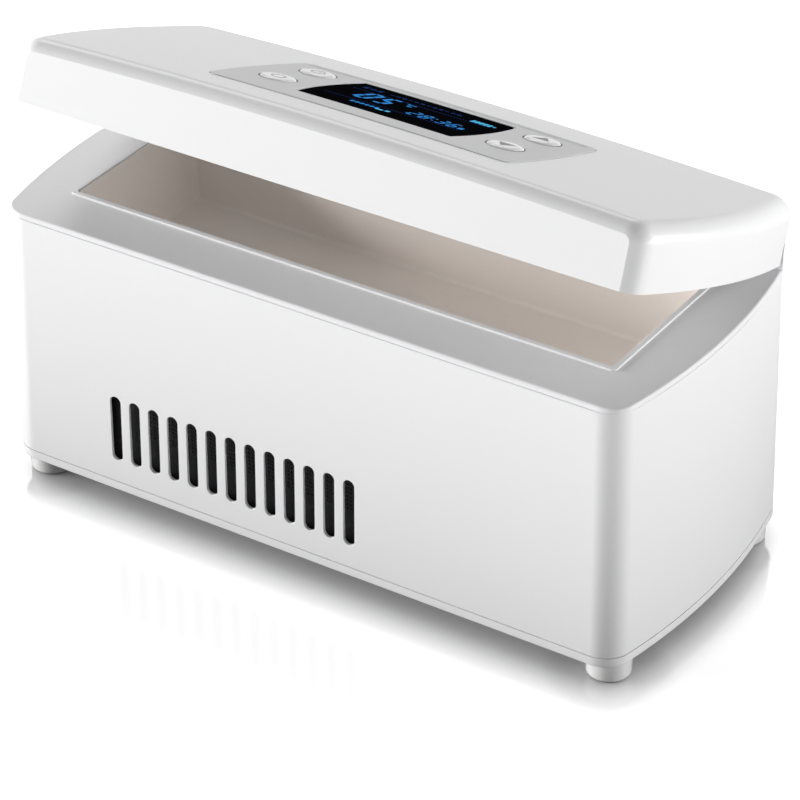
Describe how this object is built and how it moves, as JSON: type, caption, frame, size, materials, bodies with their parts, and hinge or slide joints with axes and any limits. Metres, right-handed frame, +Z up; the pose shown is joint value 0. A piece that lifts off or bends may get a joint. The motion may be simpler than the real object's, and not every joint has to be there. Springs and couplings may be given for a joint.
{
  "type": "insulin cooling case",
  "caption": "White desktop cooling case for insulin pens, with a hinged lid that stands open, a display and buttons in the lid, vent slots, an empty storage well and a fan-cooled base.",
  "frame": {"origin": "on the surface that the feet stand on, under the middle of the box round the case with its lid part open", "axes": "+X along the case to the right, +Y to the back where the hinge is, +Z up"},
  "size_m": [0.202, 0.0928, 0.132],
  "materials": {
    "white_gloss": "gloss",
    "white_matte": "satin",
    "liner_cream": "satin",
    "panel_silver": "satin",
    "button_white": "gloss",
    "display_black": "gloss",
    "black_plastic": "matte",
    "foot_rubber": "satin",
    "seal_rubber": "matte",
    "foam": "matte",
    "aluminium": "satin",
    "steel": "satin",
    "ceramic": "matte",
    "board": "satin",
    "cell_wrap": "satin"
  },
  "bodies": {
    "case": {"outer_shell": "white_gloss", "base_cover": "white_gloss", "top_bezel": "white_gloss", "storage_liner": "liner_cream", "vent_screen_front": "black_plastic", "vent_screen_rear": "black_plastic", "foot_front_left": "foot_rubber", "foot_front_right": "foot_rubber", "foot_rear_right": "foot_rubber", "foot_rear_left": "foot_rubber", "base_screw_1": "steel", "base_screw_2": "steel", "base_screw_3": "steel", "base_screw_4": "steel", "hinge_pin_left": "steel", "hinge_pin_right": "steel", "insulation_tray": "foam", "cold_block": "aluminium", "tec_module": "ceramic", "heat_sink": "aluminium", "fan_frame": "black_plastic", "battery_pack": "cell_wrap", "main_board": "board", "dc_jack": "black_plastic"},
    "lid": {"lid_shell": "white_gloss", "lid_liner": "white_matte", "lid_seal": "seal_rubber", "lid_insulation": "foam", "control_panel": "panel_silver", "display_window": "display_black", "display_module": "black_plastic", "display_board": "board", "switch_set": "black_plastic", "switch_down": "black_plastic", "switch_power": "black_plastic", "switch_up": "black_plastic", "lid_screw_1": "steel", "lid_screw_2": "steel", "lid_screw_3": "steel", "lid_screw_4": "steel"},
    "rotor": {"fan_rotor": "black_plastic"},
    "set_button": {"button_set": "button_white"},
    "down_button": {"button_down": "button_white"},
    "power_button": {"button_power": "button_white"},
    "up_button": {"button_up": "button_white"}
  },
  "joints": [
    {"name": "lid_hinge", "type": "hinge", "parent": "case", "child": "lid", "pos_m": [0, 0.04015, 0.0891], "axis": [-1, 0, 0], "range_deg": [-20.7, 64]},
    {"name": "fan_spin", "type": "hinge", "parent": "case", "child": "rotor", "pos_m": [-0.0222, -0.00115, 0.01545], "axis": [0, 0, 1], "continuous": true},
    {"name": "set_press", "type": "slide", "parent": "lid", "child": "set_button", "axis": [0, -0.3535, -0.9354], "range_m": [0, 0.0006], "stiffness_N_per_m": 400, "springref_m": -0.0005},
    {"name": "down_press", "type": "slide", "parent": "lid", "child": "down_button", "axis": [0, -0.3535, -0.9354], "range_m": [0, 0.0006], "stiffness_N_per_m": 400, "springref_m": -0.0005},
    {"name": "power_press", "type": "slide", "parent": "lid", "child": "power_button", "axis": [0, -0.3535, -0.9354], "range_m": [0, 0.0006], "stiffness_N_per_m": 400, "springref_m": -0.0005},
    {"name": "up_press", "type": "slide", "parent": "lid", "child": "up_button", "axis": [0, -0.3535, -0.9354], "range_m": [0, 0.0006], "stiffness_N_per_m": 400, "springref_m": -0.0005}
  ]
}
